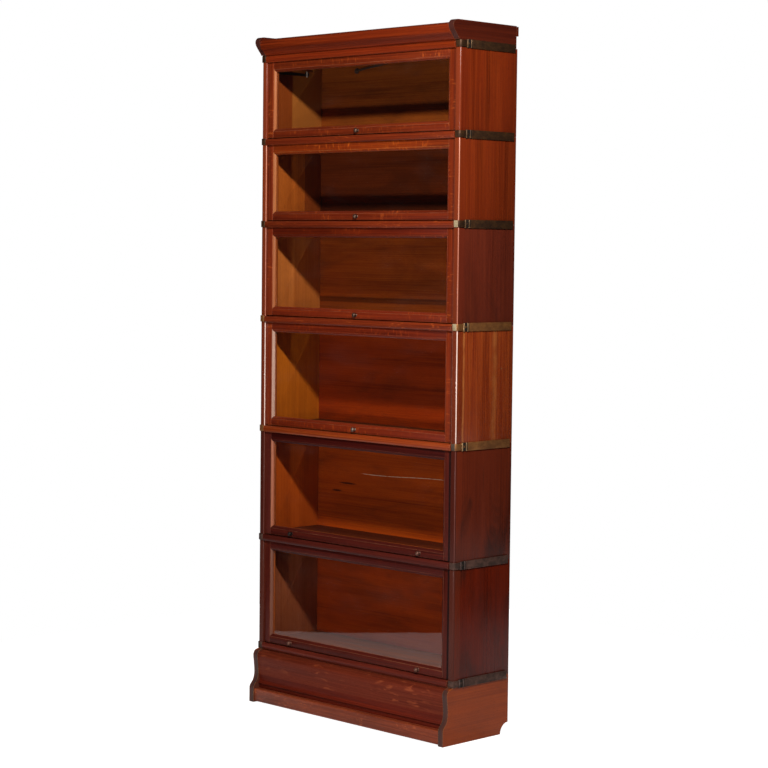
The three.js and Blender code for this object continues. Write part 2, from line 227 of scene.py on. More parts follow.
# Stained oaks: dark, middle and light grain, ray fleck, worn arris
TONES = {
    "red": "4c1506 72230b 933812 ad4e1d d18d69",
    "purple": "43160e 662517 7f341e 954828 c58c6f",
    "orange": "5d1b09 852e0e ae4e1d c05c23 d8946c",
    "bright": "6c2107 8e350e a84e1d 7c300f d49477",
    "dark": "3a0c05 59180a 73220d 852e12 a8654a",
    "dusk": "2c0907 471410 5a1c14 6a2819 9c5e48",
    "crown": "350d08 531b0b 6b2613 79331a a66c4d",
    "base": "5c1d06 8b360f a84916 b55319 ca895a",
    "base_front": "3f1006 5e1e0e 722d18 8e4022 b0765d",
    "inner": "7c2e07 ae5111 cd6923 d77227 d08d54",
    "panel": "651802 8d2a04 a83c09 b3440c b56f37",
    # Bead tones, lighter than the doors: painted highlights for the left stile's bead, which faces the lamps
    "bead": "8f4d28 b0663a c67646 cc8050 dca07a",
    "bead_pale": "8c6858 ab8472 c49e8a cca894 dcc0b0",
    "bead_old": "6a3a2a 8a523c a2644b a86c52 bc8a70",
    "bead_dull": "4a2a22 603a2e 754638 7c4e40 94685a",
    "toe": "58200f 80361c 994526 b0582f c48a6a",
    "shelf": "4e1c08 823a12 a8541e b8642a b87c48",
    "bare": "8a6238 a67c4c bd9664 c4a070 cfae84",
}
ACROSS_FLECK, ALONG_FLECK, SHORT_FLECK = (210, 42, 42), (24, 90, 90), (70, 210, 210)

# Section 5's back panel: a scratch with its height, where each end is faint and full, and how high and
# how tightly it bows; and dark tool marks (X, height, half length)
SCRATCH_LEVEL, SCRATCH_ENDS, SCRATCH_BOW = 0.745, ((-0.22, -0.18), (0.172, 0.142)), (0.005, 10.0)
SCRATCH_TREMBLE, SCRATCH_WIDTH, SCRATCH_TONE = 1.2 * MM, 0.8 * MM, "d8b49c"
TOOL_MARKS, TOOL_MARK_RISE = ((-0.272, 0.704, 0.048), (-0.322, 0.677, 0.028)), 4 * MM
TOOL_MARK_TONE = "2a1006"


def panel_marks(number):
    """Marks of a back panel: a duller back, and on the front painted shade along its foot and section 5's
    scars.
    """
    def draw(g, spot, colour):
        front = g.math("LESS_THAN", spot[1], back_panel_front + MM)
        rear = g.math("MULTIPLY_ADD", front, -PANEL_REAR_SHARE, PANEL_REAR_SHARE)
        colour = g.mix(rear, colour, linear(PANEL_REAR))
        # Painted shade: a dark band low on the panel's front
        for start, full, share, *about in PANEL_PAINTED_SHADE.get(number, ()):
            rise = g.away(spot[2], about[0]) if about else spot[2]
            laid = g.times(front, g.span(rise, start, full, 0.0, share))
            colour = g.mix(laid, colour, linear(DARKENING_TONE))
        return scars(g, spot, colour, front) if number == 5 else colour
    return draw


def scars(g, spot, colour, front):
    """A pale scratch that wanders along the panel, and dark tool marks, on the panel's front alone."""
    bow, turns = SCRATCH_BOW
    along = g.times(g.math("SINE", g.times(spot[0], turns)), bow)
    rough = g.noise(g.join({0: spot[0]}), (60, 1, 1), 3.0)
    line = g.math("ADD", g.math("ADD", along, g.times(rough, SCRATCH_TREMBLE)), SCRATCH_LEVEL)
    off = g.away(spot[2], line)
    inked = g.times(front, g.span(off, SCRATCH_WIDTH * 1.8, SCRATCH_WIDTH * 0.6))
    inked = g.times(inked, g.span(rough, 0.3, 0.55, 0.25, 1.0))
    for faint, full in SCRATCH_ENDS:
        inked = g.times(inked, g.span(spot[0], faint, full))
    colour = g.mix(inked, colour, linear(SCRATCH_TONE))
    for x, z, half in TOOL_MARKS:
        reach = g.math("DIVIDE", g.math("SUBTRACT", spot[0], x), half)
        rise = g.math("DIVIDE", g.math("SUBTRACT", spot[2], z), TOOL_MARK_RISE)
        distance = g.math("ADD", g.times(reach, reach), g.times(rise, rise))
        share = g.times(front, g.span(distance, 1.0, 0.2, 0.0, 0.85))
        colour = g.mix(share, colour, linear(TOOL_MARK_TONE))
    return colour


def side_marks(corner, streaks):
    """Marks of a side board: a painted highlight, a pale line along its rounded front corners, and golden
    streaks. A corner is (place, half width, colour, share), a streak is (place, half width, share), with
    places along Y."""
    def draw(g, spot, colour):
        height = g.join({2: spot[2]})
        uneven = g.noise(height, (1, 1, 22), 3.0)
        wander = g.math("SUBTRACT", g.noise(height, (1, 1, 9), 2.0), 0.5)
        for place, half, share in streaks:
            along = g.math("ADD", spot[1], g.times(wander, half * STREAK_WANDER))
            faded = g.span(uneven, 0.25, 0.65, share * 0.3, share)
            line = g.times(g.span(g.away(along, place), half, 0.0), faded)
            colour = g.mix(line, colour, linear(STREAK_TONE))
        # The corner line is a painted highlight, pale where the rounding would mirror the lamp
        if corner:
            place, half, code, share = corner
            faded = g.span(uneven, 0.2, 0.55, share * 0.8, share)
            line = g.times(g.span(g.away(spot[1], place), half, half * 0.5), faded)
            colour = g.mix(line, colour, linear(code))
        return colour
    return draw


def wood(name, tone, place=own_grain, figure=0.6, fleck=0.0, flecks=ACROSS_FLECK, wear=0.7, rough=0.36,
         gloss=0.5, depth=1.0, blotch=0.0, dark_ends=0.0, shades=(), marks=None, tint=(1, 1, 1)):
    """Stained quarter-sawn oak: growth streaks, pores, ray flecks and arrises rubbed pale. Ends that face
    front or back may be darker. A shade is (axis, where it starts, where it is full, share, colour), and a
    sixth value is the place from which both are measured, either way; marks draws single scars on the
    colour. Depth is how dark the dark grain goes, and the tint multiplies the tone's colours."""
    dark, middle, light, ray, worn = (
        tuple(part * share for part, share in zip(linear(code), (*tint, 1))) for code in TONES[tone].split()
    )
    made, g = material(name)
    board = place(g)
    drift = g.noise(board, (2.2, 16, 16), 3.0)
    streak = g.noise(board, (3.0, 260, 260), 4.0, 0.62, 0.35)
    broad = g.noise(board, (1.1, 26, 26), 3.0, 0.55)
    colour = g.mix(g.span(broad, 0.3, 0.7, 1 - depth, 1.0), dark, middle)
    colour = g.mix(g.times(g.span(streak, 0.36, 0.68), figure), colour, light)
    colour = g.mix(g.span(drift, 0.35, 0.7, 0.0, 0.45), colour, middle)
    pores = g.span(g.noise(board, (70, 1500, 1500), 1.0), 0.58, 0.7)
    colour = g.mix(g.times(pores, 0.55), colour, dark)
    if fleck:
        rays = g.span(g.noise(board, flecks, 2.0, 0.5, 0.6), *FLECK_EDGE)
        where = g.span(g.noise(board, (7, 9, 9), 2.0), 0.42, 0.6)
        colour = g.mix(g.times(g.times(rays, where), fleck), colour, ray)
    if dark_ends:
        facing = g.split(g.node("TexCoord").outputs["Normal"])[1]
        ends = g.span(g.math("ABSOLUTE", facing), 0.25, 0.7, 0.0, dark_ends)
        colour = g.mix(ends, colour, linear(END_GRAIN))
    if blotch:
        stains = g.span(g.noise(board, (3.5, 11, 11), 4.0, 0.6, 0.8), 0.45, 0.7, 0.0, blotch)
        colour = g.mix(stains, colour, linear(STAIN))
    spot = g.split(g.own_place())
    for axis, start, full, share, code, *about in shades:
        along = spot["xyz".index(axis)]
        if about:
            along = g.away(along, about[0])
        colour = g.mix(g.span(along, start, full, 0.0, share), colour, linear(code))
    if marks:
        colour = marks(g, spot, colour)
    rubbed = g.span(g.noise(board, (24, 160, 160), 3.0, 0.6), 0.34, 0.66, 0.25, 1.0)
    arris = g.span(g.edges(WEAR_REACH), 0.03, 0.2, 0.0, wear)
    colour = g.mix(g.times(arris, rubbed), colour, worn)
    relief = g.math("SUBTRACT", streak, g.times(pores, 0.8))
    shine = g.span(broad, 0.25, 0.75, rough - 0.05, rough + 0.07)
    shine = g.math("ADD", shine, g.times(pores, 0.15))
    g.finish(g.node("BsdfPrincipled", {
        "Base Color": colour, "Roughness": shine, "Specular IOR Level": gloss,
        "Normal": g.bump(relief, 0.12 * MM, 0.6),
    }))
    return made


def brass(name, bright, tarnish, spread, rough, metal):
    """Cast brass under a brown patina that is rubbed off at the edges; spread is the tarnished share."""
    made, g = material(name)
    place = g.own_place()
    clouds = g.noise(place, (38, 38, 70), 5.0, 0.62)
    grit = g.noise(place, (520, 520, 520), 3.0, 0.6)
    share = g.span(clouds, spread - 0.3, spread + 0.24, 0.1, 0.9)
    share = g.math("SUBTRACT", share, g.span(g.edges(1.2 * MM), 0.02, 0.25, 0.0, 0.75), clamp=True)
    colour = g.mix(share, linear(bright), linear(tarnish))
    colour = g.mix(g.span(grit, 0.5, 0.75, 0.0, 0.5), colour, linear(tarnish))
    shine = g.span(share, 0.0, 1.0, rough - 0.08, rough + 0.14)
    shine = g.math("ADD", shine, g.span(grit, 0.4, 0.8, 0.0, 0.12))
    g.finish(g.node("BsdfPrincipled", {
        "Base Color": colour, "Roughness": shine, "Metallic": metal,
        "Normal": g.bump(g.math("ADD", grit, clouds), 0.2 * MM, 0.3),
    }))
    return made


def steel(name, tone, rough, metal=1.0):
    """Brushed steel with brown spots."""
    made, g = material(name)
    place = g.own_place()
    brushed = g.noise(place, (60, 700, 700), 3.0)
    spots = g.noise(place, (90, 90, 90), 4.0, 0.65)
    colour = g.mix(g.span(spots, 0.5, 0.7, 0.0, 0.6), linear(tone), linear("2a1c14"))
    g.finish(g.node("BsdfPrincipled", {
        "Base Color": colour, "Metallic": metal,
        "Roughness": g.span(brushed, 0.3, 0.7, rough - 0.06, rough + 0.1),
        "Normal": g.bump(brushed, 0.05 * MM, 0.4),
    }))
    return made


def old_glass(name):
    """Drawn window glass: clear, faintly wavy, with a thin film of dust towards the edges."""
    made, g = material(name)
    place = g.own_place()
    waves = g.noise(place, (5, 5, 9), 2.0)
    film = g.span(g.noise(place, (6, 6, 14), 4.0, 0.6), 0.5, 0.8, 0.0, 0.005)
    ripple = g.bump(waves, 1.2 * MM, 0.12)
    mirror = g.node("BsdfGlossy", {"Roughness": 0.025, "Normal": ripple})
    clear = g.node("BsdfTransparent", {"Color": (0.965, 0.975, 0.965, 1.0)})
    dust = g.node("BsdfDiffuse", {"Color": (0.55, 0.53, 0.5, 1.0)})
    bounce = g.node("Fresnel", {"IOR": 1.5, "Normal": ripple}).outputs[0]
    inward = g.node("NewGeometry").outputs["Backfacing"]
    outward = g.math("SUBTRACT", 1.9, g.times(inward, 1.9))
    reflect = g.math("MULTIPLY", bounce, outward, clamp=True)
    pane = g.node("MixShader", {0: reflect, 1: clear.outputs[0], 2: mirror.outputs[0]})
    g.finish(g.node("MixShader", {0: film, 1: pane.outputs[0], 2: dust.outputs[0]}))
    return made


def sweep(profile, along, low, high):
    """A closed shell: the profile drawn in the other two axes, run along an axis. An end is a number, or a
    function of the profile point that gives one, for a mitre."""
    ends = []
    for end in (low, high):
        level = end if callable(end) else (lambda first, second, flat=end: flat)
        ring = []
        for first, second in profile:
            point = [0.0, 0.0, 0.0]
            for axis, value in zip(AXES[along], (level(first, second), first, second)):
                point[axis] = value
            ring.append(Vector(point))
        ends.append(ring)
    count = len(profile)
    faces = [list(range(count)), list(range(count, 2 * count))]
    faces += [[at, (at + 1) % count, (at + 1) % count + count, at + count] for at in range(count)]
    return ends[0] + ends[1], faces, along


def rectangle(first, second):
    return [(first[0], second[0]), (first[1], second[0]), (first[1], second[1]), (first[0], second[1])]


def block(low, high, along):
    """A plain board from corner to corner, with its grain along an axis."""
    run, first, second = AXES[along]
    return sweep(
        rectangle((low[first], high[first]), (low[second], high[second])), along, low[run], high[run]
    )


def turned(outline, centre, axis):
    """A closed shell turned about a line through the centre: outline points are (height, radius)."""
    run, first, second = AXES[axis]
    points, faces = [], []
    for height, radius in outline:
        for step in range(TURNED_STEPS):
            turn = math.tau * step / TURNED_STEPS
            point = Vector(centre)
            point[run] += height
            point[first] += radius * math.cos(turn)
            point[second] += radius * math.sin(turn)
            points.append(point)
    for ring in range(len(outline) - 1):
        for step in range(TURNED_STEPS):
            here, after = ring * TURNED_STEPS + step, ring * TURNED_STEPS + (step + 1) % TURNED_STEPS
            faces.append([here, after, after + TURNED_STEPS, here + TURNED_STEPS])
    faces.append(list(range(TURNED_STEPS)))
    faces.append(list(range(len(points) - TURNED_STEPS, len(points))))
    return points, faces, axis


def scaled(outline, way):
    """An outline in mm as one in metres, forwards or backwards along its axis."""
    return [(way * height * MM, radius * MM) for height, radius in outline]


def placed(name, data):
    """A new object in the scene."""
    made = bpy.data.objects.new(name, data)
    bpy.context.scene.collection.objects.link(made)
    return made


def pour(shape, points, faces):
    """Adds a shell to a bmesh and gives its vertices."""
    verts = [shape.verts.new(point) for point in points]
    for face in faces:
        shape.faces.new([verts[at] for at in face])
    return verts


def carved(shell, tool):
    """A shell with another one's shape cut out of it."""
    holders = []
    for points, faces, _ in (shell, tool):
        mesh = bpy.data.meshes.new("uncut")
        shape = bmesh.new()
        pour(shape, points, faces)
        bmesh.ops.recalc_face_normals(shape, faces=shape.faces)
        shape.to_mesh(mesh)
        shape.free()
        holders.append(placed("uncut", mesh))
    board, cutter = holders
    cut = board.modifiers.new("cut", "BOOLEAN")
    cut.object, cut.operation, cut.solver = cutter, "DIFFERENCE", "EXACT"
    mesh = board.evaluated_get(bpy.context.evaluated_depsgraph_get()).to_mesh()
    points = [vert.co.copy() for vert in mesh.vertices]
    faces = [list(face.vertices) for face in mesh.polygons]
    for holder in holders:
        mesh = holder.data
        bpy.data.objects.remove(holder)
        bpy.data.meshes.remove(mesh)
    return points, faces, shell[2]


def arc(centre, radius, start, end, steps=ROUND_STEPS):
    """Points of an arc in a profile's plane; the radius may be one number or one for each axis."""
    radii = radius if isinstance(radius, tuple) else (radius, radius)
    turns = [math.radians(start + (end - start) * step / steps) for step in range(steps + 1)]
    return [(centre[0] + radii[0] * math.cos(t), centre[1] + radii[1] * math.sin(t)) for t in turns]


def rounded_line(points):
    """Points of a smooth curve through the given ones."""
    made = []
    padded = [points[0], *points, points[-1]]
    for before, start, end, after in zip(padded, padded[1:], padded[2:], padded[3:]):
        for step in range(CURVE_STEPS):
            t = step / CURVE_STEPS
            weights = (
                (-t + 2 * t ** 2 - t ** 3) / 2, (2 - 5 * t ** 2 + 3 * t ** 3) / 2,
                (t + 4 * t ** 2 - 3 * t ** 3) / 2, (t ** 3 - t ** 2) / 2,
            )
            around = (before, start, end, after)
            made.append(tuple(sum(w * p[axis] for w, p in zip(weights, around)) for axis in (0, 1)))
    return [*made, points[-1]]


def smooth_by_angle():
    """A geometry node tree that smooths every edge flatter than SMOOTH_BELOW."""
    tree = bpy.data.node_groups.new("smooth_by_angle", "GeometryNodeTree")
    for way in ("INPUT", "OUTPUT"):
        tree.interface.new_socket("Geometry", in_out=way, socket_type="NodeSocketGeometry")
    g = Graph(tree)
    shape = g.add("NodeGroupInput").outputs[0]
    shape = g.add("GeometryNodeSetShadeSmooth", {"Geometry": shape}).outputs[0]
    angle = g.add("GeometryNodeInputMeshEdgeAngle").outputs["Unsigned Angle"]
    flat = g.add("FunctionNodeCompare", {"A": angle, "B": SMOOTH_BELOW}, operation="LESS_THAN").outputs[0]
    inputs = {"Geometry": shape, "Shade Smooth": flat}
    g.add("NodeGroupOutput", {0: g.add("GeometryNodeSetShadeSmooth", inputs, domain="EDGE").outputs[0]})
    return tree


smoothing_tree = smooth_by_angle()


def soften(piece, width):
    """Rounds a piece's arrises and smooths its curves."""
    if width:
        rounding = piece.modifiers.new("arris", "BEVEL")
        rounding.width, rounding.segments = width, ARRIS_SEGMENTS
        rounding.limit_method, rounding.angle_limit = "ANGLE", SMOOTH_BELOW
        rounding.use_clamp_overlap = True
    piece.modifiers.new("smooth", "NODES").node_group = smoothing_tree


def make(name, shells, finishes, body, stands_for=(), arris=ARRIS, finish_of=None):
    """A piece of one or more closed shells, each with its own stretch of grain. Where finish_of is given,
    it tells from a face's normal and centre which of the finishes the face takes."""
    rng = random.Random(name)
    mesh = bpy.data.meshes.new(name)
    shape = bmesh.new()
    grain = shape.verts.layers.float_vector.new("grain")
    for points, faces, along in shells:
        offset = Vector(rng.uniform(1, 9) for _ in range(3))
        for vert in pour(shape, points, faces):
            vert[grain] = Vector(vert.co[axis] for axis in AXES[along]) + offset
    bmesh.ops.recalc_face_normals(shape, faces=shape.faces)
    if finish_of:
        for face in shape.faces:
            face.material_index = int(finish_of(face.normal, face.calc_center_median()))
    shape.to_mesh(mesh)
    shape.free()
    for finish in finishes:
        mesh.materials.append(finish)
    piece = placed(name, mesh)
    soften(piece, arris)
    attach(piece, body)
    if stands_for:
        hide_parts(*stands_for)


def dress(node, finish, arris=ARRIS):
    """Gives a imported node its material, and softens it by modifiers."""
    piece = frame["nodes"][node]
    piece.data.materials.clear()
    piece.data.materials.append(finish)
    if arris is not None:
        flatten = piece.modifiers.new("flatten", "DECIMATE")
        flatten.decimate_type, flatten.angle_limit = "DISSOLVE", FLAT_WITHIN
        soften(piece, arris)


def by_section(names):
    """A table from section to name."""
    return dict(zip(SECTIONS, names.split()))


SIDE_TONES = by_section("red red purple orange dark dark")
FRONT_TONES = by_section("red red red red dusk dusk")
RAIL_TONES = by_section("red red red bright dusk dusk")
# Painted highlight: the left stile's bead is lighter in these tones where it faces the lamps
BEAD_HIGHLIGHT_TONES = by_section("bead bead bead bead_pale bead_old bead_dull")
SIDE_BLOTCH = {1: 0.1, 2: 0.1, 3: 0.3, 4: 0.1, 5: 0.75, 6: 0.6}
SIDE_GLOSS = {1: 0.3, 2: 0.35, 3: 0.35, 4: 0.8, 5: 0.15, 6: 0.15}
SIDE_TINTS = {1: (1.3, 1.35, 1.1), 2: (1.25, 1.35, 1.1), 3: (1.05, 1.05, 0.95), 4: (1.05, 1.05, 1.0),
              5: (1.2, 1.85, 2.1), 6: (1.15, 1.1, 0.85)}
SIDE_STRIPS = by_section("6e200c 7a2a0e 6a2412 6c260e 6a2612 642816")
SIDE_FACES = by_section("82361c 803418 742e14 6a2a16 3e1812 48221a")
# Golden streaks of section 4's sides, and painted highlights: pale lines along the sides' rounded front
# corners,
# where they would mirror the lamp: how far back from the front, half width, and share or colour and share
SIDE_STREAKS = {4: ((30 * MM, 7 * MM, 0.85), (166 * MM, 17 * MM, 0.55))}
STREAK_WANDER, STREAK_TONE = 1.6, "b86c34"
PAINTED_CORNER_HIGHLIGHTS = {
    2: (1.35 * MM, 1.15 * MM, "dc9070", 0.8), 3: (1.35 * MM, 1.1 * MM, "cc846c", 0.75),
    4: (1.5 * MM, 1.4 * MM, "f4d4c4", 0.95), 5: (1.2 * MM, 0.9 * MM, "7c4c44", 0.5),
}
# Tints of door members that differ from their section's tone, and of the front rails
DOOR_TINTS = {
    ("stile", 1): (1.12, 1.15, 1.1), ("stile", 5): (1.3, 1.65, 1.5), ("stile", 6): (1.15, 1.3, 1.05),
    ("top", 2): (1.45, 1.55, 0.9), ("top", 3): (0.7, 0.52, 0.45), ("top", 4): (0.8, 0.62, 0.6),
    ("top", 5): (0.8, 0.65, 0.6), ("top", 6): (0.95, 0.9, 0.8), ("bottom", 2): (0.82, 0.76, 0.75),
    ("bottom", 3): (0.88, 0.76, 0.66), ("bottom", 4): (0.84, 0.7, 0.6), ("bottom", 5): (1.0, 1.05, 0.9),
    ("bottom", 6): (1.15, 1.3, 1.05),
}
RAIL_TINTS = {5: (1.05, 1.2, 1.0), 6: (1.7, 2.0, 1.5)}
BEAD_HIGHLIGHT_TINTS = {1: (0.9, 0.85, 0.75), 2: (0.95, 0.95, 0.78), 3: (0.75, 0.7, 0.65), 4: (1.0, 1.0, 1.0),
              5: (1.3, 1.2, 1.05), 6: (1.2, 1.1, 0.95)}
INNER_TINTS = {1: (0.72, 0.68, 1.2), 2: (1.28, 1.44, 2.3), 3: (1.45, 2.0, 4.6), 4: (1.42, 1.7, 1.15),
               5: (1.25, 1.0, 1.0), 6: (0.76, 0.95, 4.1)}
PANEL_TINTS = {1: (1.3, 2.9, 5.8), 2: (0.85, 1.45, 3.7), 3: (1.7, 3.1, 5.4), 4: (1.3, 1.35, 1.05),
               5: (1.6, 2.2, 1.5), 6: (1.4, 1.6, 1.1)}
SHELF_TINTS = {5: (0.6, 0.5, 0.9), 6: (1.0, 1.0, 1.3)}
SHELF_PAINTED_SHADE = {5: 0.35, 6: 0.1}
# Painted shade low on a back panel, a dark band where the lamps' shadows fall: the heights at which it starts
# and is full, and its share. With a fourth value the first two are distances from that height, either way
PANEL_PAINTED_SHADE = {
    1: [(1.888, 1.872, 0.15)], 2: [(1.629, 1.606, 0.6)],
    3: [(1.302, 1.296, 0.42), (12 * MM, 5 * MM, 0.6, 1.304)],
}
PANEL_REAR, PANEL_REAR_SHARE = "6a3c20", 0.6
# Rear part of an inner wall: where it starts, its share and its colour. In section 1 it is painted light,
# lighter where the fill lamp's shadow ends; section 2's side is glued up from two boards, the rear one darker
INNER_SEAMS_AND_PAINTED_LIGHT = {1: [(4.5 * MM, 0.75, "b86c2c")], 2: [(62 * MM, 0.75, "7c3010")]}
# Where a shade starts and where it is full: behind the sides' front (two), in from a door's end (darker
# there), in front of the back panel (painted shade on the shelf), and out from the inside of the plinth
# (darker there)
STRIP_REACH, FACE_REACH = (34 * MM, 22 * MM), (7 * MM, 3.5 * MM)
END_REACH, SHELF_REACH, BASE_REACH = (12 * MM, 6 * MM), (95 * MM, 60 * MM), (16 * MM, 8 * MM)
SEAM_AND_LIGHT_EDGE_HALF = 0.5 * MM

door_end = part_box("door_frame_1")[1].x
case_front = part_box("door_frame_1")[0].y - SIDE_PROUD
back_panel_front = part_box("back_panel_1")[0].y
base_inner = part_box("plinth_front")[1].x
side_woods, front_woods, rail_woods = {}, {}, {}
bead_highlight_woods, inner_woods, shelf_woods, panel_woods = {}, {}, {}, {}
for n in SECTIONS:
    old, corner = n > 4, None
    if n in PAINTED_CORNER_HIGHLIGHTS:
        back, *rest = PAINTED_CORNER_HIGHLIGHTS[n]
        corner = (case_front + back, *rest)
    streaks = [(case_front + back, *rest) for back, *rest in SIDE_STREAKS.get(n, ())]
    side_woods[n] = wood(
        f"side_oak_{n}", SIDE_TONES[n], figure=0.8 if n == 4 else 0.5, wear=0.45,
        rough=0.24 if n == 4 else 0.3, gloss=SIDE_GLOSS[n], depth=0.75, blotch=SIDE_BLOTCH[n],
        shades=[("y", *(case_front + part for part in STRIP_REACH), 0.5, SIDE_STRIPS[n]),
                ("y", *(case_front + part for part in FACE_REACH), 0.85, SIDE_FACES[n])],
        marks=side_marks(corner, streaks), tint=SIDE_TINTS[n],
    )
    for member in ("stile", "top", "bottom"):
        front_woods[member, n] = wood(
            f"front_oak_{member}_{n}", FRONT_TONES[n], fleck=0.3 if old else 0.8,
            wear=0.95 if old else 0.7, gloss=0.12 if old else 0.3,
            # Darker towards the door's right end, beside the side board
            shades=[("x", *(door_end - part for part in END_REACH), 0.95 if old else 0.4, DARKENING_TONE)],
            tint=DOOR_TINTS.get((member, n), (1, 1, 1)),
        )
    rail_woods[n] = wood(
        f"rail_oak_{n}", RAIL_TONES[n], fleck=0.3 if old else 0.7, flecks=SHORT_FLECK, wear=0.9,
        gloss=0.15 if old else 0.35, tint=RAIL_TINTS.get(n, (1, 1, 1)),
    )
    bead_highlight_woods[n] = wood(
        f"bead_highlight_oak_{n}", BEAD_HIGHLIGHT_TONES[n], wear=0.5, rough=0.42, gloss=0.25, tint=BEAD_HIGHLIGHT_TINTS[n],
    )
    inner_woods[n] = wood(
        f"inner_oak_{n}", "inner", figure=0.28, wear=0.0, rough=0.5, gloss=0.1, depth=0.55,
        # Section 1's lighter rear is painted light
        shades=[("y", at - SEAM_AND_LIGHT_EDGE_HALF, at + SEAM_AND_LIGHT_EDGE_HALF, *rest) for at, *rest in INNER_SEAMS_AND_PAINTED_LIGHT.get(n, ())],
        tint=INNER_TINTS[n],
    )
    # Painted shade: the shelf darker towards the back panel
    painted_shade = SHELF_PAINTED_SHADE.get(n, 0.6)
    shelf_woods[n] = wood(
        f"shelf_oak_{n}", "shelf", wear=0.2, rough=0.5, gloss=0.1,
        shades=[("y", *(back_panel_front - part for part in SHELF_REACH), painted_shade, DARKENING_TONE)],
        tint=SHELF_TINTS.get(n, (1.05, 1.2, 1.6)),
    )
    panel_woods[n] = wood(
        f"panel_oak_{n}", "panel", node_grain("x"), figure=0.4, wear=0.0, rough=0.5, gloss=0.1, blotch=0.3,
        marks=panel_marks(n), tint=PANEL_TINTS[n],
    )
strip_wood = wood("strip_oak", "inner", wear=0.3, rough=0.45, tint=(0.8, 0.7, 0.7))
bare_wood = wood("bare_oak", "bare", wear=0.0, rough=0.7)
crown_side = wood("cornice_side_oak", "crown", node_grain("y"), wear=0.8, dark_ends=0.5, gloss=0.35)
crown_front = wood("cornice_front_oak", "red", node_grain("x"), wear=0.5, gloss=0.25, tint=(1.1, 1.0, 0.8))
crown_top = wood("cornice_top_oak", "crown", node_grain("x"), wear=0.6, rough=0.7, gloss=0.02)
base_side = wood(
    "plinth_side_oak", "base", node_grain("y"), figure=0.35, wear=0.9, gloss=0.25, depth=0.5,
    blotch=0.15, dark_ends=0.85, tint=(1.1, 1.12, 0.68),
    shades=[("x", *(base_inner + part for part in BASE_REACH), 0.75, END_GRAIN, 0.0)],
)
base_front = wood("plinth_front_oak", "base_front", fleck=0.6, flecks=ALONG_FLECK, wear=0.5, rough=0.5,
                  gloss=0.12, tint=(1.2, 1.3, 1.3))
base_hollow = wood("plinth_hollow_oak", "dark", wear=0.9, rough=0.5, gloss=0.12)
toe_wood = wood("plinth_toe_oak", "toe", fleck=0.9, flecks=SHORT_FLECK, wear=0.8, gloss=0.3, blotch=0.3)
base_rear = wood("plinth_rear_oak", "base", node_grain("x"), wear=0.5, rough=0.5)

# Brasses: bright and tarnished colour, tarnished share, roughness, how metallic
BRASSES = {
    "band_bronze": ("6e4a2c", "2e1a0e", 0.46, 0.45, 0.6),
    "band_brown_brass": ("b0743f", "6a4020", 0.5, 0.48, 0.6),
    "band_black_brass": ("7a5446", "33231c", 0.42, 0.58, 0.5),
    "rib_bronze": ("7c5c38", "33241a", 0.5, 0.42, 0.6),
    "rib_brass": ("b8946a", "5e4228", 0.6, 0.4, 0.7),
    "rib_black_brass": ("705850", "2e221e", 0.5, 0.52, 0.5),
    # Pale tab finishes: painted highlights on the front of right-hand tabs
    "tab_brass": ("d8c49c", "907450", 0.6, 0.36, 0.4),
    "tab_black_brass": ("c8a88c", "2c1e18", 0.3, 0.5, 0.4),
    "recess_black_brass": ("4a3a2a", "17100c", 0.3, 0.6, 0.4),
    "knob_brass": ("7a5c4c", "2e1c14", 0.5, 0.32, 0.75),
    "knob_silver_brass": ("b09888", "3a2820", 0.55, 0.28, 0.85),
    "knob_black_brass": ("3a2e28", "120c0a", 0.5, 0.4, 0.8),
    "knob_copper_brass": ("7a5040", "3c2018", 0.6, 0.44, 0.6),
}
brasses = {name: brass(name, *look) for name, look in BRASSES.items()}
BAND_METALS = ("band_bronze",) * 3 + ("band_brown_brass",) * 2 + ("band_black_brass",) * 2
RIB_METALS = ("rib_bronze",) * 3 + ("rib_brass",) * 2 + ("rib_black_brass",) * 2
# Painted highlights: the right-hand tabs at joints 2 to 4 are pale on their front faces, which face the lamps
TAB_HIGHLIGHT_METALS = {("right", 2): "tab_brass", ("right", 3): "tab_brass", ("right", 4): "tab_black_brass"}
KNOB_METALS = {
    "knob_4": "knob_silver_brass", "knob_5_left": "knob_black_brass", "knob_5_right": "knob_copper_brass",
    "knob_6_left": "knob_copper_brass", "knob_6_right": "knob_copper_brass",
}
pin_steel = steel("pin_steel", "8d8c8a", 0.36)
track_steel = steel("track_steel", "3f4a52", 0.4)
arm_steel = steel("arm_steel", "5a4238", 0.5, 0.3)
# Near-white and hardly metallic: a painted glint on the equaliser's clip
clip_steel = steel("clip_steel", "f4ece0", 0.3, 0.1)
glass = old_glass("old_glass")


class Section:
    """Where one section's parts lie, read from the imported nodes."""

    def __init__(self, number):
        self.number = number
        back_low, back_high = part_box(f"back_panel_{number}")
        self.door_low, self.door_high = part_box(f"door_frame_{number}")
        self.pane_low, self.pane_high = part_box(f"door_glass_{number}")
        self.bottom, self.top = back_low.z - FIT, back_high.z
        self.front = self.door_low.y - SIDE_PROUD
        self.rear, self.panel = back_high.y, back_low.y
        self.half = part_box(f"case_{number}")[1].x
        self.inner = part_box("cornice_front")[1].x + FIT
        self.sight_half = self.pane_high.x - GLAZING_LAP
        self.sight_low = self.pane_low.z + GLAZING_LAP
        self.sight_high = self.pane_high.z - GLAZING_LAP
        rod_low, rod_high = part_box(f"hinge_rod_{number}")
        self.pin, self.pin_radius = (rod_low + rod_high) / 2, (rod_high.z - rod_low.z) / 2
        self.groove_floor = rod_high.x + PIN_END_PLAY
        joints = frame["record"]["behaviour"]["joints"]
        slide = next(joint for joint in joints if joint["name"] == f"door_{number}_slide")
        self.pin_parked = self.pin.y + slide["range_m"][1]


